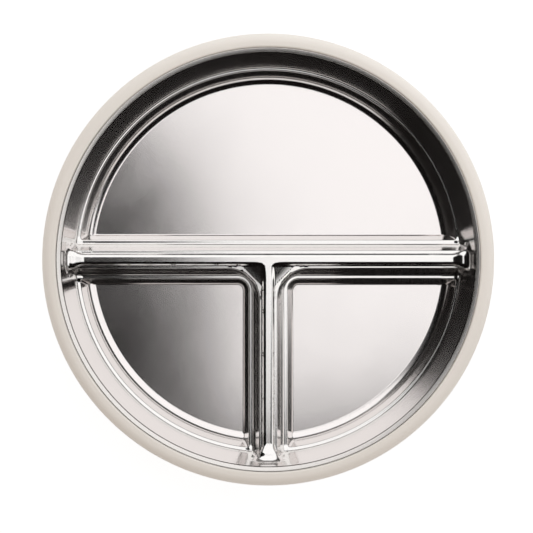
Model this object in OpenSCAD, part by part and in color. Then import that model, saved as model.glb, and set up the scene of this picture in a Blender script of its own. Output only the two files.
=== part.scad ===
// Divided compartment plate: a stamped steel tray with a T-shaped divider,
// which lifts out of a moulded shell that stands on a non-slip ring.
// Millimetres, +Z up, origin on the table under the middle of the plate.
// The bar of the T runs along X and its stem runs towards -Y.

/* [Plate] */
// Outside diameter of the plate at its lip
plate_d = 200; // [190:1:230]
// Height from the table to the top of the lip
plate_h = 38; // [36:0.5:44]

/* [Steel tray] */
// Thickness of the sheet
sheet_t = 0.7; // [0.5:0.05:0.8]
// Outside radius of the rolled bead round the rim
bead_r = 1.2; // [1:0.1:1.4]
// How far the top of the bead lies below the top of the lip
bead_drop = 0.5; // [0.2:0.1:1]
// Height of the ledge above the tray's floor
ledge_h = 9; // [8:0.5:10]
// Width of the ledge that runs round each compartment
ledge_w = 0.9; // [0.6:0.1:1.2]
// How far the wall leans out between the ledge and the bead
upper_run = 5; // [4:0.25:6]
// How far the wall leans out between the floor and the ledge
lower_run = 3.3; // [2.5:0.1:4]
// Radius between the floor and the outer wall
floor_bend_r = 3; // [2:0.25:4]

/* [Divider] */
// Height of the shoulder under the crest, above the tray's floor
shoulder_h = 17; // [15:0.5:18]
// Radius of the round crest, which is also its height above the shoulder
crest_r = 3; // [2.5:0.1:3.4]
// Half the width across the shoulders
shoulder_half_w = 4.3; // [4:0.1:4.8]
// How far the divider leans out between the shoulder and the ledge
divider_upper_run = 3.7; // [3:0.1:4]
// How far the divider leans out between the ledge and the floor
divider_lower_run = 1.6; // [1:0.1:1.8]
// Radius between the floor and the divider
divider_bend_r = 1.7; // [1.2:0.1:1.9]
// Radius of a quarter's inner corner, along the foot of the divider
corner_r = 2.1; // [2:0.1:3]
// Width of the land between a quarter's inner corner and the web that crosses it
corner_land = 0.8; // [0.6:0.1:1.2]
// Radius of the bend that takes the end of the crest up into the wall
crest_bend_r = 5; // [4:0.25:6]

/* [Shell] */
// Wall thickness
shell_t = 2.2; // [1.8:0.1:2.6]
// Width of the lip
lip_w = 5.8; // [5.6:0.1:6.6]
// Wall thickness of the lip
lip_t = 2; // [1.6:0.1:2.2]
// Depth of the skirt below the round of the lip
skirt_h = 4.6; // [3:0.2:8]
// Height of the underside of the shell's floor above the table
base_h = 4.8; // [4.4:0.1:6]
// Inside radius between the shell's floor and its wall
shell_bend_r = 4; // [3:0.25:5]
// Clearance between the tray's bead or floor and the shell
seat_gap = 0.3; // [0.2:0.05:0.4]
// Clearance between the tray's wall and the shell's wall
wall_gap = 0.6; // [0.5:0.05:0.8]

/* [Grip ring] */
// Diameter of the middle of the ring
grip_d = 142; // [130:1:150]
// Width of the ring
grip_w = 5; // [4:0.5:6]
// How far the ring stands out below the foot
grip_proud = 1; // [0.8:0.1:1.5]
// Depth of the groove that holds the ring
groove_depth = 2.2; // [1.8:0.1:2.6]
// Thickness of the foot on each side of the groove
foot_t = 1.8; // [1.5:0.1:2.5]
// Radius along the ring's lower edges
grip_edge_r = 0.6; // [0.3:0.1:0.8]
// Clearance on each side of the ring in its groove
grip_gap = 0.1; // [0.05:0.05:0.15]

/* [Hidden] */
$fn = 128;
// Overrun that takes a cut clear of the face it passes
cut = 1;
// Share of the sheet that a wall moves sideways while a floor moves down by a whole sheet
side_share = 0.75;
quarter_turn = 90;

// Lip of the shell, and the bead of the tray inside it
plate_r = plate_d / 2;
lip_r = lip_w / 2;
lip_c = plate_r - lip_r;
lip_z = plate_h - lip_r;
channel_r = lip_r - lip_t;
bead_c = plate_r - lip_w - seat_gap - bead_r;
bead_z = plate_h - bead_drop - bead_r;
seat_z = bead_z - bead_r - seat_gap;

// Heights of the tray
shell_floor_z = base_h + shell_t;
floor_z = shell_floor_z + seat_gap + sheet_t;
ledge_z = floor_z + ledge_h;
shoulder_z = floor_z + shoulder_h;
crest_z = shoulder_z + crest_r;

// Radii of the tray's inner face
wall_top_r = bead_c - bead_r;
ledge_out_r = wall_top_r - upper_run;
ledge_in_r = ledge_out_r - ledge_w;
toe_r = ledge_in_r - lower_run;
wall_slope = atan2(bead_z - ledge_z, upper_run);
sheet_side = sheet_t * side_share;
shell_side = shell_t / sin(wall_slope);

// Half widths of the divider's outer face
divider_ledge_in = shoulder_half_w + divider_upper_run;
divider_ledge_out = divider_ledge_in + ledge_w;
divider_toe = divider_ledge_out + divider_lower_run;
divider_slope = atan2(ledge_h, divider_lower_run);
divider_back = setback(divider_bend_r, divider_slope);
divider_foot = divider_toe + divider_back;

// Distance from the divider's middle to the centre of a quarter's inner corner
corner_c = divider_foot + corner_r;
// Distance from that centre to the web that crosses the corner
web_c = corner_c - shoulder_half_w + corner_land;
// Step up from the flat underside of the shoulder to the underside of the web
web_step = sheet_t / 8;

// The crest runs level to here, then bends up until it lies within the sheet of the wall
crest_end = wall_r(crest_z) + sheet_side - setback(crest_bend_r, wall_slope);

// Foot and grip ring
grip_r = grip_d / 2;
groove_half = grip_w / 2 + grip_gap;
grip_h = grip_proud + groove_depth;

// Radius of the tray's inner wall at a height above the ledge
function wall_r(z) = ledge_out_r + upper_run * (z - ledge_z) / (bead_z - ledge_z);
// Radius of the shell's inner wall, which runs parallel to the tray's wall
function shell_r(z) = wall_r(z) + sheet_side + wall_gap;
// Distance from a corner to the start of its bend
function setback(r, turn) = r * tan(turn / 2);
// Point on the slope that rises from a corner, at a distance from it
function up_slope(x, z, dist, angle) = [x + dist * cos(angle), z + dist * sin(angle)];

// Area inside the tray's outer wall up to a height, moved out and down
module wall_area(out, down, top) {
    angle = atan2(ledge_h, lower_run);
    back = setback(floor_bend_r, angle);
    toe = toe_r + out;
    low = floor_z - down;
    polygon([
        [0, low],
        [toe - back, low],
        up_slope(toe, low, back, angle),
        [ledge_in_r + out, ledge_z - down],
        [ledge_out_r + out, ledge_z - down],
        [wall_r(top + down) + out, top],
        [0, top]
    ]);
    translate([toe - back, low + floor_bend_r]) circle(r = floor_bend_r);
}

// Area beside the divider, from its shoulder out to reach, moved in and down
module beside_divider(reach, side = 0, down = 0) {
    top = shoulder_z + down + cut;
    translate([-side, -down]) {
        polygon([
            [shoulder_half_w, top],
            [shoulder_half_w, shoulder_z],
            [divider_ledge_in, ledge_z],
            [divider_ledge_out, ledge_z],
            up_slope(divider_toe, floor_z, -divider_back, -divider_slope),
            [divider_foot, floor_z],
            [reach + side, floor_z],
            [reach + side, top]
        ]);
        translate([divider_foot, floor_z + divider_bend_r]) circle(r = divider_bend_r);
    }
}

// Space inside the wall up to the shoulder, with an upright overrun above it
module pocket_disc() {
    rotate_extrude() {
        wall_area(0, 0, shoulder_z);
        translate([0, shoulder_z]) square([wall_r(shoulder_z), cut]);
    }
}

// Extrudes a profile of width and height along +X, its width towards +Y
module along_bar(length) {
    rotate([quarter_turn, 0, quarter_turn]) linear_extrude(length) children();
}

// Extrudes a profile of width and height towards -Y, its width towards +X
module along_stem(length) {
    rotate([quarter_turn, 0, 0]) linear_extrude(length) children();
}

// Space over a quarter's rounded inner corner, left of the stem
module corner_pocket(side = 0, down = 0) {
    translate([-corner_c, -corner_c, 0])
        rotate_extrude(angle = quarter_turn)
            intersection() {
                translate([corner_c, 0]) mirror([1, 0]) beside_divider(corner_c + cut, side, down);
                square([corner_c, plate_h]);
            }
}

// Space over the half-moon compartment behind the bar
module half_pocket() {
    translate([-plate_r, 0, 0]) along_bar(plate_d) beside_divider(plate_r);
}

// Space over the quarter compartment left of the stem
module quarter_pocket() {
    corner_pocket();
    translate([0, -corner_c, 0])
        along_stem(plate_r) mirror([1, 0]) beside_divider(plate_r);
    translate([-plate_r, 0, 0])
        along_bar(plate_r - corner_c) mirror([1, 0]) beside_divider(plate_r);
}

// Disc of sheet with its wall and rolled bead, solid up to the shoulder
module tray_blank() {
    rotate_extrude() {
        difference() {
            wall_area(sheet_side, sheet_t, bead_z);
            polygon([
                [0, shoulder_z],
                [wall_r(shoulder_z), shoulder_z],
                [wall_r(bead_z + cut), bead_z + cut],
                [0, bead_z + cut]
            ]);
        }
        translate([bead_c, bead_z]) rolled_bead();
    }
}

// Section of the rolled bead, open at its lower inner side
module rolled_bead() {
    hollow = bead_r - sheet_t;
    difference() {
        circle(r = bead_r);
        circle(r = hollow);
        translate([-hollow, -bead_r - cut]) square([hollow, bead_r + cut]);
    }
}

// Round crest of one arm of the divider, bent up into the wall at its end
module crest_arm() {
    rotate([0, quarter_turn, 0])
        translate([-shoulder_z, 0, 0])
            cylinder(r = crest_r, h = crest_end);
    translate([crest_end, 0, crest_z + crest_bend_r])
        rotate([quarter_turn, 0, 0])
            rotate([0, 0, -quarter_turn])
                rotate_extrude(angle = wall_slope)
                    translate([crest_bend_r + crest_r, 0]) circle(r = crest_r);
}

// Wedge whose slope rises towards the crest, across the inner corner left of the stem
module corner_wedge(sink, down) {
    reach = corner_c * sqrt(2);
    half_w = (corner_c - crest_r) * sqrt(2) - web_c + crest_r;
    rise = crest_r - sheet_t;
    sink_run = sink * (reach - web_c) / rise;
    intersection() {
        translate([-corner_c, -corner_c, -down])
            rotate([0, 0, quarter_turn / 2])
                translate([0, half_w, 0])
                    rotate([quarter_turn, 0, 0])
                        linear_extrude(2 * half_w)
                            polygon([
                                [web_c - sink_run, shoulder_z - sink],
                                [reach, shoulder_z + rise],
                                [reach, ledge_z],
                                [web_c, ledge_z]
                            ]);
        translate([-corner_c, -corner_c, ledge_z])
            cube([corner_c + sheet_t, corner_c + sheet_t, plate_h]);
    }
}

// Sloping web across the inner corner left of the stem, its edges sunk in the crest
module corner_web() {
    corner_wedge(sheet_t / 2, 0);
}

// Section of the hollow under the divider
module hollow_area() {
    half_w = divider_foot - sheet_side;
    bottom = floor_z - sheet_t - cut;
    difference() {
        translate([-half_w, bottom]) square([2 * half_w, shoulder_z - sheet_t - bottom]);
        beside_divider(plate_r, sheet_side, sheet_t);
        mirror([1, 0]) beside_divider(plate_r, sheet_side, sheet_t);
    }
    translate([0, shoulder_z]) circle(r = crest_r - sheet_t);
}

// Hollow under the inner corner left of the stem and under its web
module corner_hollow() {
    bottom = floor_z - sheet_t - cut;
    difference() {
        translate([-corner_c, -corner_c, bottom])
            cube([corner_c, corner_c, shoulder_z - sheet_t - bottom]);
        corner_pocket(sheet_side, sheet_t);
    }
    corner_wedge(-web_step, sheet_t);
}

// Space under the whole divider, open through the outer wall at its three ends
module divider_hollow() {
    translate([-plate_r, 0, 0]) along_bar(plate_d) hollow_area();
    along_stem(plate_r) hollow_area();
    corner_hollow();
    mirror([1, 0, 0]) corner_hollow();
}

module steel_tray() {
    color("silver")
        difference() {
            union() {
                difference() {
                    tray_blank();
                    intersection() {
                        pocket_disc();
                        union() {
                            half_pocket();
                            quarter_pocket();
                            mirror([1, 0, 0]) quarter_pocket();
                        }
                    }
                }
                intersection() {
                    rotate_extrude() wall_area(sheet_side, sheet_t, bead_z);
                    union() {
                        crest_arm();
                        rotate([0, 0, 2 * quarter_turn]) crest_arm();
                        rotate([0, 0, -quarter_turn]) crest_arm();
                    }
                }
                corner_web();
                mirror([1, 0, 0]) corner_web();
            }
            divider_hollow();
        }
}

// Area of a tub whose wall is parallel to the tray's wall, moved out
module tub_area(out, bottom, bend, top) {
    toe = shell_r(bottom) + out;
    back = setback(bend, wall_slope);
    polygon([
        [0, bottom],
        [toe - back, bottom],
        up_slope(toe, bottom, back, wall_slope),
        [shell_r(top) + out, top],
        [0, top]
    ]);
    translate([toe - back, bottom + bend]) circle(r = bend);
}

// Section of the round lip and its skirt
module lip_area() {
    difference() {
        translate([lip_c, lip_z]) circle(r = lip_r);
        translate([lip_c, lip_z]) circle(r = channel_r);
        translate([lip_c - lip_r, lip_z - lip_r]) square([lip_w, lip_r]);
    }
    translate([plate_r - lip_t, lip_z - skirt_h]) square([lip_t, skirt_h]);
    translate([plate_r - lip_t / 2, lip_z - skirt_h]) circle(d = lip_t);
}

module outer_shell() {
    foot_half = groove_half + foot_t;
    color("#E6DDD3")
        rotate_extrude() {
            difference() {
                union() {
                    tub_area(shell_side, base_h, shell_bend_r + shell_t, seat_z);
                    translate([shell_r(seat_z), seat_z - shell_t])
                        square([lip_c - channel_r - shell_r(seat_z), lip_z - seat_z + shell_t]);
                    translate([grip_r - foot_half, grip_proud])
                        square([2 * foot_half, shell_floor_z - grip_proud]);
                }
                tub_area(0, shell_floor_z, shell_bend_r, seat_z + cut);
                translate([0, seat_z]) square([plate_r - lip_w, plate_h]);
                translate([grip_r - groove_half, grip_proud - cut])
                    square([2 * groove_half, groove_depth + cut]);
            }
            lip_area();
        }
}

module grip_ring() {
    flat_half = grip_w / 2 - grip_edge_r;
    color("#B8AFA6")
        rotate_extrude()
            translate([grip_r, 0]) {
                translate([-grip_w / 2, grip_edge_r]) square([grip_w, grip_h - grip_edge_r]);
                translate([-flat_half, 0]) square([2 * flat_half, grip_edge_r]);
                translate([-flat_half, grip_edge_r]) circle(r = grip_edge_r);
                translate([flat_half, grip_edge_r]) circle(r = grip_edge_r);
            }
}

steel_tray();
outer_shell();
grip_ring();
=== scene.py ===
"""Looks of the divided compartment plate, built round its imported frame."""
import math

import bpy
import numpy as np
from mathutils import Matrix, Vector
from mathutils.geometry import delaunay_2d_cdt


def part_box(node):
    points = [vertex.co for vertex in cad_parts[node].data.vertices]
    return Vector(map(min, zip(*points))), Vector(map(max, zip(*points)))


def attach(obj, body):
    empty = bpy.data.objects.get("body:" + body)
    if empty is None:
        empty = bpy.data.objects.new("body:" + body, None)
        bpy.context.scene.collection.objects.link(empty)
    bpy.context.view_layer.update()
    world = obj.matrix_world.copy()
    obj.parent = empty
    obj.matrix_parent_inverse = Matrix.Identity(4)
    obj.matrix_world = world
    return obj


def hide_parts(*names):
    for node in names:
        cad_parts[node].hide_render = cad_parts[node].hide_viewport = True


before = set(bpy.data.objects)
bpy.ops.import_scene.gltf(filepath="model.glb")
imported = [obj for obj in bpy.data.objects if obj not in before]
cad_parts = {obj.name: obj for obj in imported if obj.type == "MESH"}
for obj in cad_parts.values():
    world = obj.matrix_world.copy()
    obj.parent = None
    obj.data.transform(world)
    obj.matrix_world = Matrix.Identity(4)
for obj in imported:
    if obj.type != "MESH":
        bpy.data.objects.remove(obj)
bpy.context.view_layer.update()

MM = 0.001
HALF_PI = math.pi / 2

# The photograph's frame: its size, and the plate's middle and outside radius in it
PHOTO_PX = 533
PLATE_MIDDLE_PX = (268.2, 259.5)
PLATE_RADIUS_PX = 226.3

# Camera, in metres: its height over the rim and the range that it sees
CAMERA_OVER_RIM = 0.8
CAMERA_NEAR = 0.05
CAMERA_FAR = 20
SENSOR_MM = 36

# Sizes that the frame gives, in millimetres like all sizes below that don't say metres
tray_low, tray_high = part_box("steel_tray")
shell_low, shell_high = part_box("outer_shell")
grip_low, grip_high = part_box("grip_ring")
PLATE_R = shell_high.x / MM
PLATE_TOP = shell_high.z / MM
SHELL_BOTTOM = shell_low.z / MM
BEAD_TOP = tray_high.z / MM
BEAD_OUT_R = tray_high.x / MM
TRAY_BOTTOM = tray_low.z / MM
GRIP_OUT_R = grip_high.x / MM
GRIP_TOP = grip_high.z / MM
GRIP_BOTTOM = grip_low.z / MM

# Sheet of the tray, and its heights above the floor's upper face
SHEET_T = 0.7
LEDGE_H = 9
SHOULDER_H = 18.6
CREST_H = 20
FLOOR_Z = TRAY_BOTTOM + SHEET_T
LEDGE_Z = FLOOR_Z + LEDGE_H
SHOULDER_Z = FLOOR_Z + SHOULDER_H
CREST_Z = FLOOR_Z + CREST_H

# Bead round the rim: half its width, and how far it stays inside the solid's
BEAD_R = 1.0
BEAD_INSET = 0.4
BEAD_C = BEAD_OUT_R - BEAD_INSET - BEAD_R
BEAD_Z = BEAD_TOP - BEAD_R
# Its top falls inwards by this share, and its outer face hangs this far below its middle
BEAD_FALL = 0.2
BEAD_HANG = 0.75
# It leaves the wall this far above its middle, and has these bends
BEAD_START = 0.15
BEAD_IN_R = 0.3
BEAD_EDGE_R = 0.25
BEAD_LOW_R = 0.5
BEAD_TURN_STEP = 6

# Outer wall: how far it leans out above and below the ledge, the ledge's width, its fall towards the
# compartments as a share of that width, and the radius of the wall's foot
UPPER_RUN = 4.6
LEDGE_W = 1.3
LOWER_RUN = 3.3
WALL_FALL = 0.17
WALL_FLOOR_R = 2.7
WALL_TOP_R = BEAD_C - BEAD_R
LEDGE_OUT_R = WALL_TOP_R - UPPER_RUN
LEDGE_IN_R = LEDGE_OUT_R - LEDGE_W
TOE_R = LEDGE_IN_R - LOWER_RUN
WALL_CORNERS = [(TOE_R, FLOOR_Z), (LEDGE_IN_R, LEDGE_Z), (LEDGE_OUT_R, LEDGE_Z), (WALL_TOP_R, BEAD_Z)]

# Divider: half widths at its shoulder, at both edges of its ledge and at its toe, the fall of its
# ledge and shoulder, and the radii where it meets the floor and the wall
SHOULDER_HALF = 4.0
SIDE_LEDGE_IN = 6.9
SIDE_LEDGE_OUT = 8.75
SIDE_TOE = 11.1
SIDE_FALL = 0.02
SIDE_FLOOR_R = 0.5
SIDE_WALL_R = 1.6
SIDE_CORNERS = [(-SIDE_TOE, FLOOR_Z), (-SIDE_LEDGE_OUT, LEDGE_Z),
                (-SIDE_LEDGE_IN, LEDGE_Z), (-SHOULDER_HALF, SHOULDER_Z)]

# Radii of a ledge's or shoulder's edge and of the bend behind a ledge, and how far below the ledge the
# face behind it is carried on
LEDGE_BEND_R = 0.35
LEDGE_BACK_R = 0.5
LEDGE_LAP = 1

# Crest: half its width, half its flat middle, and its bends to the shoulder, its other arm and the wall
CREST_HALF = 2.6
CREST_FLAT = 0.9
CREST_BASE_R = 0.3
CREST_JOIN_R = 1.2
CREST_WALL_R = 3
# Between these radii, towards the wall, the crest's width is divided by 1 less the spread, and it rises
END_FROM_R = 82
END_TO_R = 87
END_SPREAD = 0.35
END_RISE = 1.4

# Centre of a quarter's inner corner, from both arms' middles: up to the ledge, and at the shoulder, with
# the half width of the divider at which the second is reached
CORNER_C = 14.0
CORNER_SHOULDER_C = 18.0
CORNER_SPREAD_TO = 4.9

# The web across an inner corner leaves the shoulder where |x| - y is the web's sum, rises this much
# towards the middle, and is blended into the crest
WEB_SUM = 13.7
WEB_RISE = 1.45
WEB_BLEND_R = 0.8
WEB_LAP = 0.3

# Halvings that find an offset from the divider, and how far from a corner's centre they stay
OFFSET_STEPS = 26
OFFSET_ROOM = 0.05
# Halvings that find a height, and the range searched, below the floor and above the bead's middle
HEIGHT_STEPS = 34
SEARCH_BELOW = 4
SEARCH_ABOVE = 12
# Step to each side of a point that measures a slope
SLOPE_STEP = 0.02

# Plan points of the sheet: stations round a ring, and spacings
RING_STATIONS = 480
ROW_SPACING = 0.5
STATION_SPACING = 1.2
FLOOR_SPACING = 4.0
END_SPACING = 0.4
CENTRE_SPACING = 0.35
GRID_ROW_SHARE = 0.87
CORNER_STEPS = 12
CREST_STEPS = 15
MERGE_DISTANCE = 0.02
SHEET_EDGE_INSET = 0.15
SHEET_EDGE_R = WALL_TOP_R - SHEET_EDGE_INSET

# Rows are spaced along these sections, from a stretch of floor up to the bead or the crest, with the
# bends at the wall's foot and at its ledge's edge cut across
FLOOR_BY_WALL = 4
FLOOR_BY_SIDE = 3
FOOT_CUT = 0.5
FOOT_CUT_H = 1
LEDGE_CUT = 0.3
LEDGE_CUT_H = 0.5
CREST_GAP = 0.1
WALL_ROW_PATH = [(TOE_R - FLOOR_BY_WALL, FLOOR_Z), (TOE_R + FOOT_CUT, FLOOR_Z + FOOT_CUT_H),
                 (LEDGE_IN_R - LEDGE_CUT, LEDGE_Z - LEDGE_CUT_H), (LEDGE_IN_R + LEDGE_CUT, LEDGE_Z),
                 (LEDGE_OUT_R, LEDGE_Z), (SHEET_EDGE_R, BEAD_Z - LEDGE_CUT_H)]
SIDE_ROW_PATH = [(CREST_HALF + CREST_GAP, SHOULDER_Z), (SHOULDER_HALF, SHOULDER_Z), (SIDE_LEDGE_IN, LEDGE_Z),
                 (SIDE_LEDGE_OUT, LEDGE_Z), (SIDE_TOE, FLOOR_Z), (SIDE_TOE + FLOOR_BY_SIDE, FLOOR_Z)]

# How far the closer rows reach from each bend, and the first row, the last and the count of each set
WALL_FOOT_REACH = 3.5
FACE_REACH = 0.8
EDGE_REACH = 0.5
LEDGE_REACH = 0.3
WALL_BEND_ROWS = [(TOE_R - WALL_FOOT_REACH, TOE_R + FACE_REACH, 15),
                  (LEDGE_IN_R - LEDGE_REACH, LEDGE_OUT_R + LEDGE_REACH, 10)]
SIDE_BEND_ROWS = [(SHOULDER_HALF - EDGE_REACH, SHOULDER_HALF + LEDGE_REACH, 6),
                  (SIDE_LEDGE_IN - LEDGE_REACH, SIDE_LEDGE_OUT + LEDGE_REACH, 10),
                  (SIDE_TOE - EDGE_REACH, SIDE_TOE + FACE_REACH, 10)]

# Extent of the fine grids at the crest's ends and middle, and of the coarse one on the floors
END_HALF = 15
END_DEPTH = 6
CENTRE_HALF = 15
CENTRE_BEHIND = 0.5
FLOOR_HALF = 80

# A point is on a face, or on the crest, within these distances
ON_FACE = 0.6
ON_CREST = 0.5
# A bend reaches this far from its face
BEND_REACH = 2.2
# Each zone of points ends this far from its neighbours, or reaches this far past them
SIDE_TO_TOE = 3
SIDE_TO_EDGE = 0.3
SIDE_TO_WEB = 1.5
CREST_TO_EDGE = 0.5
END_TO_TOE = 3.4
END_PAST_SIDE = 2
CENTRE_PAST_WEB = 2
FLOOR_TO_TOE = 5
FLOOR_TO_SIDE = 3.3

# Lip of the shell: its width, its height over its widest point, its thickness, its bends, and how far
# in degrees each of them stops short of level
LIP_W = 6.35
LIP_R = 2.9
LIP_T = 2.0
LIP_IN_R = 0.9
LIP_OUT_R = 4.2
LIP_SLOPE = 2
LIP_IN_STEPS = 15
LIP_OUT_STEPS = 25
LIP_EDGE_STEPS = 13
# Its straight faces stop this far before their bends
LIP_IN_GAP = 0.1
LIP_EDGE_GAP = 0.5
# Depth of the skirt below the lip's widest point
SKIRT_H = 4.6

# Clearance under the tray, the seat of its bead, and the tub of the shell
SEAT_GAP = 0.3
SEAT_Z = BEAD_Z - BEAD_R - SEAT_GAP
SHELL_T = 2.2
SHELL_FLOOR_Z = TRAY_BOTTOM - SEAT_GAP
SHELL_BASE_Z = SHELL_FLOOR_Z - SHELL_T
SHELL_STATIONS = 512
# The shell's wall follows a slope that spreads this much between the ledge's height and the bead's,
# stands this far outside it, and is eased this much at its foot
SHELL_SPREAD = 5
SHELL_SIDE = 1.125
SHELL_EASE = 0.5
# Its bends: at the tub's foot, at the seat's edge and inner corner, and under the seat and the skirt
TUB_R = 4
SEAT_EDGE_R = 0.4
SEAT_CORNER_R = 0.3
SEAT_UNDER_R = 0.4
SKIRT_ROOT_R = 0.5

# Grip ring, and the foot and groove of the shell that hold it
GRIP_HALF = 2.5
GRIP_R = GRIP_OUT_R - GRIP_HALF
GRIP_EDGE_R = 0.6
GRIP_TOP_R = 0.2
GRIP_STATIONS = 256
GROOVE_GAP = 0.1
GROOVE_HALF = GRIP_HALF + GROOVE_GAP
FOOT_T = 1.8
FOOT_HALF = GROOVE_HALF + FOOT_T
FOOT_ROOT_R = 0.6
FOOT_EDGE_R = 0.5
GROOVE_R = 0.3

# Steel: satin on the floors, polish on the walls and the divider, and on the rim a darker, browner polish
# that is painted shade, dimming the bead's reflection beside the lip
SATIN_DARK = (0.79, 0.75, 0.738)
SATIN_LIGHT = (0.82, 0.78, 0.77)
POLISH_DARK = (0.80, 0.78, 0.765)
POLISH_LIGHT = (0.83, 0.81, 0.795)
RIM_SHADE_COLOR = (0.74, 0.71, 0.685)
FLOOR_ROUGH = 0.17
WALL_ROUGH = 0.16
RIM_ROUGH = 0.25
# Between these heights over the floor satin turns to polish, and over the bead's middle polish to rim
POLISH_FROM = 0.3
POLISH_TO = 1.8
RIM_FROM = -0.6
RIM_TO = 0.4
# Its cloud of tones, its grain on the floors and its faint waves: scales per metre, depths in metres
STEEL_CLOUD = 45.0
STEEL_GRAIN = 2600.0
STEEL_WAVE = 70.0
WAVE_DEPTH = 0.000008
WAVE_STRENGTH = 1.0
GRAIN_DEPTH = 0.00001
GRAIN_STRENGTH = 0.25
CLOUD_SWING = 0.015
GRAIN_SWING = 0.02

# Cream plastic and silicone: colours, roughness, and scale and depth of the grain
CREAM_DARK = (0.88, 0.84, 0.79)
CREAM_LIGHT = (0.91, 0.87, 0.82)
CREAM_ROUGH = 0.5
CREAM_GRAIN = 1800.0
CREAM_DEPTH = 0.00001
SILICONE_DARK = (0.48, 0.43, 0.38)
SILICONE_LIGHT = (0.52, 0.47, 0.42)
SILICONE_ROUGH = 0.62
SILICONE_GRAIN = 900.0
SILICONE_DEPTH = 0.00002
SOFT_CLOUD = 30.0
SOFT_SWING = 0.04
SOFT_STRENGTH = 0.3

# Detail of the noises, and the values that they mostly lie between
STEEL_CLOUD_DETAIL = 3.0
SOFT_CLOUD_DETAIL = 4.0
FINE_DETAIL = 2.0
NOISE_LOW = 0.3
NOISE_HIGH = 0.7

# Table: half its size in metres, its light as the camera sees it, and its colours in and out of view
TABLE_HALF = 6
TABLE_GLOW = 0.9
TABLE_SHADOW = 0.2
TABLE_PALE = 0.9

# Studio: white up to the horizon, dark above it in the steel, and a soft fill for the matte pieces
HORIZON_FROM = 0.02
HORIZON_TO = 0.12
DARK_LEVEL = 0.005
FILL_LEVEL = 0.5
DARK_COLOR = (1.0, 0.84, 0.79)
FILL_COLOR = (1.0, 0.9, 0.81)

# Softbox: its height in metres, its strength, and its outline, whose near edge the floors mirror
SOFTBOX_HEIGHT = 1.03
SOFTBOX_LEVEL = 1.22
SOFTBOX = [(-48, -185), (60, -165), (480, -60), (800, -40), (1100, -140), (1600, -600), (3500, -900),
           (3500, 5000), (-3500, 5000), (-1100, 930), (-586, 492), (-356, 320), (-84, 90), (-56, -37)]


def smoothstep(value, start, end):
    """Eases from 0 at start to 1 at end."""
    t = np.clip((value - start) / (end - start), 0, 1)
    return t * t * (3 - 2 * t)


def round_union(a, b, r):
    """Distance to two solids joined with a fillet of radius r."""
    fillet = np.hypot(np.maximum(r - a, 0), np.maximum(r - b, 0))
    return np.maximum(r, np.minimum(a, b)) - fillet


def round_overlap(a, b, r):
    """Distance to what two solids share, its edge rounded with radius r."""
    edge = np.hypot(np.maximum(r + a, 0), np.maximum(r + b, 0))
    return np.minimum(-r, np.maximum(a, b)) + edge


def line_distance(x, z, start, end):
    """Distance from points to a line, positive on the left of its direction."""
    dx = end[0] - start[0]
    dz = end[1] - start[1]
    return ((z - start[1]) * dx - (x - start[0]) * dz) / math.hypot(dx, dz)


def stepped_side(x, z, corners, fall):
    """Distance to a side that rises from its toe to a ledge, and on to its top, as x grows."""
    toe, ledge_near, ledge_far, top = corners
    lower = line_distance(x, z, toe, ledge_near)
    upper = np.maximum(line_distance(x, z, ledge_far, top), LEDGE_Z - LEDGE_LAP - z)
    ledge = z - LEDGE_Z - (x - ledge_far[0]) * fall
    step = round_overlap(lower, ledge, LEDGE_BEND_R)
    return round_union(step, upper, LEDGE_BACK_R)


def wall_distance(r, z):
    """Distance to the tray's outer wall."""
    return stepped_side(r, z, WALL_CORNERS, WALL_FALL)


def side_distance(offset, z):
    """Distance to the side of the divider."""
    return stepped_side(-offset, z, SIDE_CORNERS, SIDE_FALL)


def corner_centre(offset):
    """Distance from both arms' middles to the centre of a contour's inner corner."""
    spread = smoothstep(offset, SIDE_LEDGE_IN, CORNER_SPREAD_TO)
    return CORNER_C + (CORNER_SHOULDER_C - CORNER_C) * spread


def divider_offset(x, y):
    """Plan distance from the divider's middle, along contours with rounded inner corners."""
    low = np.zeros_like(x)
    high = np.full_like(x, CORNER_C - OFFSET_ROOM)
    for _ in range(OFFSET_STEPS):
        d = (low + high) / 2
        c = corner_centre(d)
        qx = c - np.abs(x)
        qy = c + y
        outside = np.hypot(np.maximum(qx, 0), np.maximum(qy, 0))
        outside = outside + np.minimum(np.maximum(qx, qy), 0) - (c - d)
        high = np.where(outside > 0, d, high)
        low = np.where(outside > 0, low, d)
    return np.where(y > 0, y, (low + high) / 2)


def arm_distance(across, up):
    """Distance to an arm of the crest: a low cap with a flat middle."""
    rise = CREST_Z - SHOULDER_Z
    half = CREST_HALF - CREST_FLAT
    cap_r = (rise * rise + half * half) / (2 * rise)
    a = np.maximum(np.abs(across) - CREST_FLAT, 0)
    return np.hypot(a, up - rise + cap_r) - cap_r


def crest_distance(x, y, z):
    """Distance to the crest's arms and to the two webs that join them."""
    end = smoothstep(np.hypot(x, y), END_FROM_R, END_TO_R)
    narrow = 1 - END_SPREAD * end
    up = z - SHOULDER_Z
    arm_up = up - END_RISE * end
    bar = arm_distance(y * narrow, arm_up)
    stem = arm_distance(np.hypot(x, np.maximum(y + CREST_HALF / 2, 0)) * narrow, arm_up)
    arms = round_union(bar, stem, CREST_JOIN_R)
    tilt = math.atan2(WEB_RISE, WEB_SUM / math.sqrt(2))
    along = (WEB_SUM - np.abs(x) + y) / math.sqrt(2)
    web = up * math.cos(tilt) - along * math.sin(tilt)
    web = np.maximum(np.maximum(web, y), -along - WEB_LAP)
    top = arm_up - (CREST_Z - SHOULDER_Z)
    return np.maximum(round_union(arms, web, WEB_BLEND_R), top)


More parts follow.
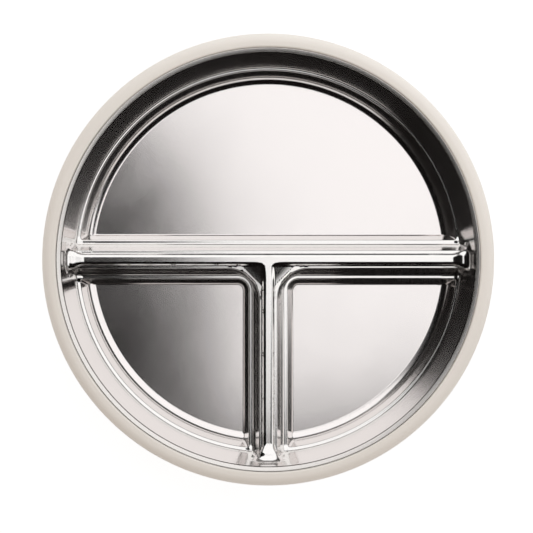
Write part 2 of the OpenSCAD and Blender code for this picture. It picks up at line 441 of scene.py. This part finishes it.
def sheet_distance(x, y, z, offset):
    """Distance from points to the upper face of the tray's sheet."""
    floor = z - FLOOR_Z
    wall = wall_distance(np.hypot(x, y), z)
    shoulder = z - SHOULDER_Z + (offset - CREST_HALF) * SIDE_FALL
    body = round_overlap(side_distance(offset, z), shoulder, LEDGE_BEND_R)
    crest = crest_distance(x, y, z)
    result = round_union(wall, floor, WALL_FLOOR_R)
    result = np.minimum(result, round_union(body, floor, SIDE_FLOOR_R))
    result = np.minimum(result, round_union(wall, body, SIDE_WALL_R))
    result = np.minimum(result, round_union(body, crest, CREST_BASE_R))
    return np.minimum(result, round_union(wall, crest, CREST_WALL_R))


def sheet_height(x, y, offset, depth=0.0):
    """Height of the surface that lies depth below the sheet's upper face."""
    low = np.full_like(x, FLOOR_Z - SEARCH_BELOW)
    high = np.full_like(x, BEAD_Z + SEARCH_ABOVE)
    for _ in range(HEIGHT_STEPS):
        z = (low + high) / 2
        air = sheet_distance(x, y, z, offset) > -depth
        high = np.where(air, z, high)
        low = np.where(air, low, z)
    return (low + high) / 2


def sheet_normals(x, y, z):
    """Unit normals of the sheet's upper face, from the slope of the distance."""
    slopes = []
    for dx, dy, dz in np.eye(3) * SLOPE_STEP:
        ahead = sheet_distance(x + dx, y + dy, z + dz, divider_offset(x + dx, y + dy))
        behind = sheet_distance(x - dx, y - dy, z - dz, divider_offset(x - dx, y - dy))
        slopes.append(ahead - behind)
    normals = np.stack(slopes, 1)
    return normals / np.linalg.norm(normals, axis=1)[:, None]


def section_rows(path, bends):
    """Rows across a section: even along its path, and closer across its bends."""
    path = np.array(path, float)
    rows = [path[:1, 0]]
    for start, end in zip(path, path[1:]):
        count = max(1, round(np.hypot(*(end - start)) / ROW_SPACING))
        rows.append(np.linspace(start[0], end[0], count + 1)[1:])
    rows += [np.linspace(*bend) for bend in bends]
    return np.unique(np.concatenate(rows).round(3))


def pairs(xs, ys):
    """Points from two arrays of coordinates, or from an array and one number."""
    return np.stack([a.ravel() for a in np.broadcast_arrays(xs, ys)], 1)


def ring_points(radii):
    """Rings of points with their stations in line."""
    angles = np.arange(RING_STATIONS) * 2 * math.pi / RING_STATIONS
    return pairs(np.outer(radii, np.cos(angles)), np.outer(radii, np.sin(angles)))


def contour_points(offsets):
    """Points along the divider's contours: straight behind the bar, round the corners before it."""
    reach = WALL_TOP_R
    turns = np.linspace(0, HALF_PI, CORNER_STEPS + 1)[1:-1]
    behind = np.linspace(-reach, reach, round(2 * reach / STATION_SPACING) + 1)
    rows = []
    for d in offsets:
        c = corner_centre(d)
        run = np.linspace(c, reach, round((reach - CORNER_C) / STATION_SPACING) + 1)
        rows.append(pairs(behind, d))
        for side in (1, -1):
            rows.append(pairs(side * run, -d))
            rows.append(pairs(side * d, -run))
            rows.append(pairs(side * (c - (c - d) * np.sin(turns)), -c + (c - d) * np.cos(turns)))
    return np.concatenate(rows)


def crest_points():
    """Points along the bar's crest and along the stem's."""
    half = CREST_FLAT + (CREST_HALF - CREST_FLAT) * np.sin(np.linspace(0, HALF_PI, CREST_STEPS + 1))
    across = np.concatenate([-half[::-1], [-CREST_FLAT / 2, 0, CREST_FLAT / 2], half])
    bar = pairs(*np.meshgrid(np.arange(-WALL_TOP_R, WALL_TOP_R, STATION_SPACING), across))
    stem = pairs(*np.meshgrid(across, np.arange(-WALL_TOP_R, -CREST_HALF, STATION_SPACING)))
    return np.concatenate([bar, stem])


def grid_points(x_range, y_range, spacing):
    """A grid of points over a rectangle, each second row shifted by half a step."""
    xs = np.arange(x_range[0], x_range[1] + spacing / 2, spacing)
    ys = np.arange(y_range[0], y_range[1] + spacing / 2, spacing * GRID_ROW_SHARE)
    return np.concatenate([pairs(xs + i % 2 * spacing / 2, y) for i, y in enumerate(ys)])


def surface_at(points):
    """Coordinates, radius, height and offset from the divider's middle at plan points of the sheet."""
    x, y = points.T
    offset = divider_offset(x, y)
    return x, y, np.hypot(x, y), sheet_height(x, y, offset), offset


def wall_zone(points):
    """Keeps the points on the outer wall, and on the floor before it."""
    _, _, r, z, offset = surface_at(points)
    wall = wall_distance(r, z)
    beside = offset > SIDE_TOE + BEND_REACH
    on_wall = (wall < BEND_REACH) & (beside | (wall < ON_FACE))
    return points[on_wall | (r < TOE_R) & beside]


def side_zone(points):
    """Keeps the points on the divider, and near the wall only those on its sides."""
    x, y, r, z, offset = surface_at(points)
    by_web = (y < 0) & (np.abs(x) - y < WEB_SUM + SIDE_TO_WEB)
    by_wall = r >= TOE_R - SIDE_TO_TOE
    on_side = (r < SHEET_EDGE_R - SIDE_TO_EDGE) & (np.abs(side_distance(offset, z)) < ON_FACE)
    return points[~by_wall & ~by_web | by_wall & on_side]


def crest_zone(points):
    """Keeps the points on the crest, away from the webs."""
    x, y, r, z, _ = surface_at(points)
    by_web = (y < 0) & (np.abs(x) < WEB_SUM) & (y > -WEB_SUM)
    on_crest = crest_distance(x, y, z) < ON_CREST
    return points[on_crest & (r < SHEET_EDGE_R - CREST_TO_EDGE) & ~by_web]


def end_zone(points):
    """Keeps the points where the divider runs into the wall."""
    r = np.hypot(*points.T)
    by_wall = (r > TOE_R - END_TO_TOE) & (r < SHEET_EDGE_R - SIDE_TO_EDGE)
    return points[by_wall & (divider_offset(*points.T) < SIDE_TOE + END_PAST_SIDE)]


def centre_zone(points):
    """Keeps the points on the webs and between them."""
    x, y = points.T
    return points[(np.abs(x) - y < WEB_SUM + CENTRE_PAST_WEB) & (y < 0)]


def floor_zone(points):
    """Keeps the points on the flat of the compartments' floors."""
    r = np.hypot(*points.T)
    return points[(r < TOE_R - FLOOR_TO_TOE) & (divider_offset(*points.T) > SIDE_TOE + FLOOR_TO_SIDE)]


def sheet_plan():
    """Plan points of the tray's sheet, in rows that follow its bends. The outermost ring comes first."""
    rings = section_rows(WALL_ROW_PATH, WALL_BEND_ROWS)[:-1]
    offsets = section_rows(SIDE_ROW_PATH, SIDE_BEND_ROWS)
    near = TOE_R - END_DEPTH
    far = WALL_TOP_R
    width = (-END_HALF, END_HALF)
    ends = [grid_points((-far, -near), width, END_SPACING),
            grid_points((near, far), width, END_SPACING),
            grid_points(width, (-far, -near), END_SPACING)]
    centre = grid_points((-CENTRE_HALF, CENTRE_HALF), (-CENTRE_HALF, CENTRE_BEHIND), CENTRE_SPACING)
    floor = grid_points((-FLOOR_HALF, FLOOR_HALF), (-FLOOR_HALF, FLOOR_HALF), FLOOR_SPACING)
    return np.concatenate([ring_points([SHEET_EDGE_R]), wall_zone(ring_points(rings)),
                           side_zone(contour_points(offsets)), crest_zone(crest_points()),
                           end_zone(np.concatenate(ends)), centre_zone(centre), floor_zone(floor)])


def triangulate(points):
    """The points, merged where they nearly meet, and the triangles between them."""
    vectors = [Vector(p) for p in points]
    verts, _, faces, _, _, _ = delaunay_2d_cdt(vectors, [], [], 0, MERGE_DISTANCE)
    return np.array([v[:] for v in verts]), faces


def spin(path, stations, closed=False):
    """Vertices and quads of a path of (r, z) points turned about Z."""
    angles = np.arange(stations) * 2 * math.pi / stations
    ring = np.stack([np.cos(angles), np.sin(angles)], 1)
    verts = [(r * c, r * s, z) for r, z in path for c, s in ring]
    faces = []
    rows = len(path) if closed else len(path) - 1
    for i in range(rows):
        a = i * stations
        b = (i + 1) % len(path) * stations
        for j in range(stations):
            k = (j + 1) % stations
            faces.append((b + j, b + k, a + k, a + j))
    return verts, faces


def arc(centre, radius, start, end, steps):
    """Points on an arc of a section, its angles in degrees from the outward direction."""
    angles = np.radians(np.linspace(start, end, steps))
    return [(centre[0] + radius * math.cos(a), centre[1] + radius * math.sin(a)) for a in angles]


def rounded(corners, radii, turn_step=8):
    """A path of (r, z) points whose corners are bent to the given radii, a step's turn in degrees."""
    path = [corners[0]]
    for before, corner, after, radius in zip(corners, corners[1:], corners[2:], radii):
        a = np.subtract(before, corner)
        b = np.subtract(after, corner)
        a = a / np.linalg.norm(a)
        b = b / np.linalg.norm(b)
        half = math.acos(np.clip(np.dot(a, b), -1, 1)) / 2
        back = radius / math.tan(half)
        middle = np.array(corner) + (a + b) / np.linalg.norm(a + b) * radius / math.sin(half)
        first = np.array(corner) + a * back - middle
        last = np.array(corner) + b * back - middle
        start = math.atan2(first[1], first[0])
        sweep = math.remainder(math.atan2(last[1], last[0]) - start, 2 * math.pi)
        steps = max(2, round(abs(math.degrees(sweep)) / turn_step) + 1)
        for t in np.linspace(0, 1, steps):
            angle = start + sweep * t
            path.append((middle[0] + radius * math.cos(angle), middle[1] + radius * math.sin(angle)))
    path.append(corners[-1])
    return path


def link_object(name, data):
    """An object of a mesh or camera, in the scene."""
    linked = bpy.data.objects.new(name, data)
    bpy.context.scene.collection.objects.link(linked)
    return linked


def make_object(name, verts, faces):
    """A smooth mesh object from points in millimetres."""
    mesh = bpy.data.meshes.new(name)
    mesh.from_pydata([tuple(c * MM for c in v) for v in verts], [], faces)
    mesh.update()
    mesh.shade_smooth()
    return link_object(name, mesh)


def bead_path():
    """Section of the bead: off the wall, over its top, down its outer face and back to the sheet."""
    lean = (WALL_TOP_R - LEDGE_OUT_R) / (BEAD_Z - LEDGE_Z)
    out_r = BEAD_C + BEAD_R
    low_z = BEAD_Z - BEAD_HANG
    in_z = BEAD_TOP - (out_r - WALL_TOP_R) * BEAD_FALL
    corners = [(WALL_TOP_R + BEAD_START * lean, BEAD_Z + BEAD_START),
               (WALL_TOP_R + (in_z - BEAD_Z) * lean, in_z),
               (out_r, BEAD_TOP), (out_r, low_z), (WALL_TOP_R + SHEET_T, low_z)]
    return rounded(corners, [BEAD_IN_R, BEAD_EDGE_R, BEAD_LOW_R], BEAD_TURN_STEP)


def make_tray():
    """The pressed tray: both faces of its sheet, joined by the bead along their outermost rings."""
    plan, triangles = triangulate(sheet_plan())
    x, y = plan.T
    offset = divider_offset(x, y)
    z = sheet_height(x, y, offset)
    under = sheet_height(x, y, offset, SHEET_T)
    path = bead_path()
    bead_verts, bead_quads = spin(path, RING_STATIONS)
    count = len(plan)
    base = 2 * count
    last = base + (len(path) - 1) * RING_STATIONS
    verts = [*zip(x, y, z), *zip(x, y, under), *bead_verts]
    faces = [tuple(t) for t in triangles]
    faces += [tuple(count + i for i in reversed(t)) for t in triangles]
    faces += [tuple(base + i for i in q) for q in bead_quads]
    for j in range(RING_STATIONS):
        k = (j + 1) % RING_STATIONS
        faces.append((j, k, base + k, base + j))
        faces.append((last + j, last + k, count + k, count + j))
    tray = make_object("pressed_tray", verts, faces)
    normals = np.array([v.normal[:] for v in tray.data.vertices])
    normals[:count] = sheet_normals(x, y, z)
    tray.data.normals_split_custom_set_from_vertices(normals)
    return tray


def slope_r(z):
    """Radius at a height of the straight slope that the shell's wall follows."""
    return WALL_TOP_R - SHELL_SPREAD * (BEAD_Z - z) / (BEAD_Z - LEDGE_Z)


def lip_path():
    """Section of the lip: over its top, down its outer face and round the lower edge of its skirt."""
    skirt_z = PLATE_TOP - LIP_R - SKIRT_H
    edge_r = LIP_T / 2
    inner = (PLATE_R - LIP_W + LIP_IN_R, PLATE_TOP - LIP_IN_R)
    outer = (PLATE_R - LIP_OUT_R, PLATE_TOP - LIP_OUT_R)
    path = arc(inner, LIP_IN_R, 180, 90 + LIP_SLOPE, LIP_IN_STEPS)
    path += arc(outer, LIP_OUT_R, 90 - LIP_SLOPE, 0, LIP_OUT_STEPS)
    path += arc((PLATE_R - edge_r, skirt_z), edge_r, 0, -180, LIP_EDGE_STEPS)
    return path + [(PLATE_R - LIP_T, skirt_z + LIP_EDGE_GAP)]


def inside_path():
    """Section of the shell's inside, from its middle over the seat to the lip."""
    lip_r = PLATE_R - LIP_W
    corners = [(0, SHELL_FLOOR_Z),
               (slope_r(SHELL_FLOOR_Z) + SHELL_SIDE + SHELL_EASE, SHELL_FLOOR_Z),
               (slope_r(SEAT_Z) + SHELL_SIDE, SEAT_Z),
               (lip_r, SEAT_Z),
               (lip_r, PLATE_TOP - LIP_IN_R - LIP_IN_GAP)]
    return rounded(corners, [TUB_R, SEAT_EDGE_R, SEAT_CORNER_R])


def outside_path(start):
    """Section of the shell's outside, from the inside of its skirt over its foot to its middle."""
    thick = SHELL_T / math.sin(math.atan2(BEAD_Z - LEDGE_Z, SHELL_SPREAD))
    under_z = SEAT_Z - SHELL_T
    corners = [start, (start[0], under_z),
               (slope_r(under_z) + SHELL_SIDE + thick, under_z),
               (slope_r(SHELL_BASE_Z) + SHELL_SIDE + thick, SHELL_BASE_Z),
               (GRIP_R + FOOT_HALF, SHELL_BASE_Z), (GRIP_R + FOOT_HALF, SHELL_BOTTOM),
               (GRIP_R + GROOVE_HALF, SHELL_BOTTOM), (GRIP_R + GROOVE_HALF, GRIP_TOP),
               (GRIP_R - GROOVE_HALF, GRIP_TOP), (GRIP_R - GROOVE_HALF, SHELL_BOTTOM),
               (GRIP_R - FOOT_HALF, SHELL_BOTTOM), (GRIP_R - FOOT_HALF, SHELL_BASE_Z),
               (0, SHELL_BASE_Z)]
    radii = [SKIRT_ROOT_R, SEAT_UNDER_R, TUB_R + SHELL_T, FOOT_ROOT_R, FOOT_EDGE_R,
             GROOVE_R, GROOVE_R, GROOVE_R, GROOVE_R, FOOT_EDGE_R, FOOT_ROOT_R]
    return rounded(corners, radii)


def make_shell():
    """The moulded shell: its tub, the lip that hides the seat of the tray, and the foot."""
    lip = lip_path()
    path = (inside_path() + lip[:-1] + outside_path(lip[-1]))[1:-1]
    verts, faces = spin(path, SHELL_STATIONS)
    top = len(verts)
    bottom = top + 1
    last = top - SHELL_STATIONS
    verts += [(0, 0, SHELL_FLOOR_Z), (0, 0, SHELL_BASE_Z)]
    for j in range(SHELL_STATIONS):
        k = (j + 1) % SHELL_STATIONS
        faces.append((top, j, k))
        faces.append((bottom, last + k, last + j))
    return make_object("moulded_shell", verts, faces)


def make_grip():
    """The non-slip ring, rounded along its lower edges."""
    in_r = GRIP_R - GRIP_HALF
    out_r = GRIP_R + GRIP_HALF
    path = rounded([(GRIP_R, GRIP_TOP), (out_r, GRIP_TOP), (out_r, GRIP_BOTTOM),
                    (in_r, GRIP_BOTTOM), (in_r, GRIP_TOP), (GRIP_R, GRIP_TOP)],
                   [GRIP_TOP_R, GRIP_EDGE_R, GRIP_EDGE_R, GRIP_TOP_R])
    verts, faces = spin(path[:-1], GRIP_STATIONS, closed=True)
    return make_object("non_slip_ring", verts, faces)


class Nodes:
    """Adds nodes to a node tree and links their inputs."""

    def __init__(self, tree):
        self.tree = tree

    def set(self, socket, value):
        """Links a socket to another, or gives it a value."""
        if isinstance(value, bpy.types.NodeSocket):
            self.tree.links.new(value, socket)
        else:
            socket.default_value = value

    def add(self, kind, inputs=None, **settings):
        """A node with its settings and inputs."""
        node = self.tree.nodes.new(kind)
        for key, value in settings.items():
            setattr(node, key, value)
        for key, value in (inputs or {}).items():
            self.set(node.inputs[key], value)
        return node

    def math(self, operation, a, b):
        """The result of a sum on two values."""
        return self.add("ShaderNodeMath", {0: a, 1: b}, operation=operation).outputs[0]

    def span(self, value, low, high, to_low, to_high, kind="SMOOTHSTEP"):
        """A value carried from one range to another, and held at its ends."""
        inputs = {"Value": value, "From Min": low, "From Max": high, "To Min": to_low, "To Max": to_high}
        return self.add("ShaderNodeMapRange", inputs, interpolation_type=kind).outputs[0]

    def swing(self, noise, middle, reach):
        """A noise carried to values round a middle."""
        return self.span(noise, NOISE_LOW, NOISE_HIGH, middle - reach, middle + reach, "LINEAR")

    def noise(self, where, scale, detail):
        """A noise of the given scale and detail."""
        inputs = {"Vector": where, "Scale": scale, "Detail": detail}
        return self.add("ShaderNodeTexNoise", inputs).outputs["Fac"]

    def bump(self, height, strength, depth, normal=None):
        """A normal bent by a height."""
        inputs = {"Strength": strength, "Distance": depth, "Height": height}
        if normal is not None:
            inputs["Normal"] = normal
        return self.add("ShaderNodeBump", inputs).outputs[0]

    def blend(self, factor, a, b):
        """A value between a and b."""
        node = self.add("ShaderNodeMix", {0: factor, 2: a, 3: b}, data_type="FLOAT")
        return node.outputs[0]

    def blend_color(self, factor, a, b):
        """A colour between a and b, each a socket or three numbers."""
        a, b = (c if isinstance(c, bpy.types.NodeSocket) else (*c, 1) for c in (a, b))
        node = self.add("ShaderNodeMix", {0: factor, 6: a, 7: b}, data_type="RGBA")
        return node.outputs[2]


def new_material(name):
    """A material with its nodes, its shader's inputs and its object coordinates."""
    material = bpy.data.materials.new(name)
    material.use_nodes = True
    nodes = Nodes(material.node_tree)
    shader = material.node_tree.nodes["Principled BSDF"]
    where = nodes.add("ShaderNodeTexCoord").outputs["Object"]
    return material, nodes, shader.inputs, where


def steel_material():
    """Stainless steel, satin on the floors and polished on the walls and the divider."""
    material, nodes, shader, where = new_material("steel")
    height = nodes.add("ShaderNodeSeparateXYZ", {0: where}).outputs[2]
    wall = nodes.span(height, (FLOOR_Z + POLISH_FROM) * MM, (FLOOR_Z + POLISH_TO) * MM, 0.0, 1.0)
    rim = nodes.span(height, (BEAD_Z + RIM_FROM) * MM, (BEAD_Z + RIM_TO) * MM, 0.0, 1.0)
    cloud = nodes.noise(where, STEEL_CLOUD, STEEL_CLOUD_DETAIL)
    grain = nodes.noise(where, STEEL_GRAIN, FINE_DETAIL)
    satin = nodes.blend_color(cloud, SATIN_DARK, SATIN_LIGHT)
    polish = nodes.blend_color(cloud, POLISH_DARK, POLISH_LIGHT)
    # The rim's darker, browner colour is painted shade that dims the bead's reflection beside the lip
    polish = nodes.blend_color(rim, polish, RIM_SHADE_COLOR)
    nodes.set(shader["Base Color"], nodes.blend_color(wall, satin, polish))
    satin_rough = nodes.math("ADD", nodes.swing(grain, 0, GRAIN_SWING),
                             nodes.swing(cloud, FLOOR_ROUGH, CLOUD_SWING))
    polish_rough = nodes.blend(rim, nodes.swing(cloud, WALL_ROUGH, CLOUD_SWING), RIM_ROUGH)
    nodes.set(shader["Roughness"], nodes.blend(wall, satin_rough, polish_rough))
    waves = nodes.bump(nodes.noise(where, STEEL_WAVE, FINE_DETAIL), WAVE_STRENGTH, WAVE_DEPTH)
    grit = nodes.math("MULTIPLY", grain, nodes.math("SUBTRACT", 1.0, wall))
    nodes.set(shader["Normal"], nodes.bump(grit, GRAIN_STRENGTH, GRAIN_DEPTH, waves))
    nodes.set(shader["Metallic"], 1)
    return material


def soft_material(name, dark, light, roughness, grain_scale, grain_depth):
    """A matte moulded plastic or rubber with a faint cloud of colour and a fine grain."""
    material, nodes, shader, where = new_material(name)
    cloud = nodes.noise(where, SOFT_CLOUD, SOFT_CLOUD_DETAIL)
    grain = nodes.noise(where, grain_scale, FINE_DETAIL)
    nodes.set(shader["Base Color"], nodes.blend_color(cloud, dark, light))
    nodes.set(shader["Roughness"], nodes.swing(grain, roughness, SOFT_SWING))
    nodes.set(shader["Normal"], nodes.bump(grain, SOFT_STRENGTH, grain_depth))
    return material


def bare_material(name):
    """A material without a shader, its nodes and the input of its surface."""
    material = bpy.data.materials.new(name)
    material.use_nodes = True
    tree = material.node_tree
    tree.nodes.remove(tree.nodes["Principled BSDF"])
    return material, Nodes(tree), tree.nodes["Material Output"].inputs["Surface"]


def table_material():
    """A white table that keeps the plate's shadow faintly, and looks white in reflections too."""
    material, nodes, surface = bare_material("table")
    path = nodes.add("ShaderNodeLightPath").outputs
    seen = nodes.math("MAXIMUM", path["Is Camera Ray"], path["Is Glossy Ray"])
    seen = nodes.math("MAXIMUM", seen, path["Is Transmission Ray"])
    white = nodes.add("ShaderNodeEmission", {"Color": (1, 1, 1, 1), "Strength": TABLE_GLOW})
    faint = nodes.add("ShaderNodeBsdfDiffuse", {"Color": (TABLE_SHADOW, TABLE_SHADOW, TABLE_SHADOW, 1)})
    shown = nodes.add("ShaderNodeAddShader", {0: white.outputs[0], 1: faint.outputs[0]})
    pale = nodes.add("ShaderNodeBsdfDiffuse", {"Color": (TABLE_PALE, TABLE_PALE, TABLE_PALE, 1)})
    mixed = nodes.add("ShaderNodeMixShader", {0: seen, 1: pale.outputs[0], 2: shown.outputs[0]})
    nodes.set(surface, mixed.outputs[0])
    return material


def make_table():
    """The table that the plate stands on."""
    half = TABLE_HALF
    corners = [(-half, -half, 0), (half, -half, 0), (half, half, 0), (-half, half, 0)]
    mesh = bpy.data.meshes.new("table")
    mesh.from_pydata(corners, [], [(0, 1, 2, 3)])
    mesh.materials.append(table_material())
    link_object("table", mesh)


def make_softbox():
    """A flat panel of even light over the plate, which the camera doesn't see."""
    corners = [(x * MM, y * MM, SOFTBOX_HEIGHT) for x, y in SOFTBOX]
    mesh = bpy.data.meshes.new("softbox")
    mesh.from_pydata(corners, [], [tuple(range(len(corners)))])
    material, nodes, surface = bare_material("softbox")
    glow = nodes.add("ShaderNodeEmission", {"Color": (1, 1, 1, 1), "Strength": SOFTBOX_LEVEL})
    nodes.set(surface, glow.outputs[0])
    mesh.materials.append(material)
    panel = link_object("softbox", mesh)
    panel.visible_camera = False


def make_world():
    """Studio surroundings: white round the horizon, dark above in the steel, pale for the matte pieces."""
    world = bpy.data.worlds.new("studio")
    bpy.context.scene.world = world
    world.use_nodes = True
    nodes = Nodes(world.node_tree)
    up = nodes.add("ShaderNodeTexCoord").outputs["Generated"]
    height = nodes.add("ShaderNodeSeparateXYZ", {0: up}).outputs[2]
    rise = nodes.span(height, HORIZON_FROM, HORIZON_TO, 0.0, 1.0)
    matte = nodes.add("ShaderNodeLightPath").outputs["Is Diffuse Ray"]
    background = world.node_tree.nodes["Background"].inputs
    nodes.set(background["Strength"], nodes.blend(rise, 1.0, nodes.blend(matte, DARK_LEVEL, FILL_LEVEL)))
    above = nodes.blend_color(matte, DARK_COLOR, FILL_COLOR)
    nodes.set(background["Color"], nodes.blend_color(rise, (1, 1, 1), above))


def make_camera():
    """The camera straight above the plate, framed as the photograph is."""
    data = bpy.data.cameras.new("camera")
    camera = link_object("camera", data)
    camera.location = (0, 0, PLATE_TOP * MM + CAMERA_OVER_RIM)
    focal_px = PLATE_RADIUS_PX * (CAMERA_OVER_RIM + LIP_R * MM) / (PLATE_R * MM)
    data.sensor_width = SENSOR_MM
    data.lens = focal_px / PHOTO_PX * SENSOR_MM
    data.shift_x = (PHOTO_PX / 2 - PLATE_MIDDLE_PX[0]) / PHOTO_PX
    data.shift_y = (PLATE_MIDDLE_PX[1] - PHOTO_PX / 2) / PHOTO_PX
    data.clip_start = CAMERA_NEAR
    data.clip_end = CAMERA_FAR
    bpy.context.scene.camera = camera


cream = soft_material("cream", CREAM_DARK, CREAM_LIGHT, CREAM_ROUGH, CREAM_GRAIN, CREAM_DEPTH)
silicone = soft_material("silicone", SILICONE_DARK, SILICONE_LIGHT, SILICONE_ROUGH,
                         SILICONE_GRAIN, SILICONE_DEPTH)
for piece, material, body, node, slot in (
        (make_tray(), steel_material(), "tray", "steel_tray", "steel"),
        (make_shell(), cream, "shell", "outer_shell", "shell_plastic"),
        (make_grip(), silicone, "shell", "grip_ring", "grip_rubber")):
    piece.data.materials.append(material)
    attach(piece, body)
    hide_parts(node)
make_camera()
make_table()
make_world()
make_softbox()
bpy.context.scene.view_settings.view_transform = "Standard"
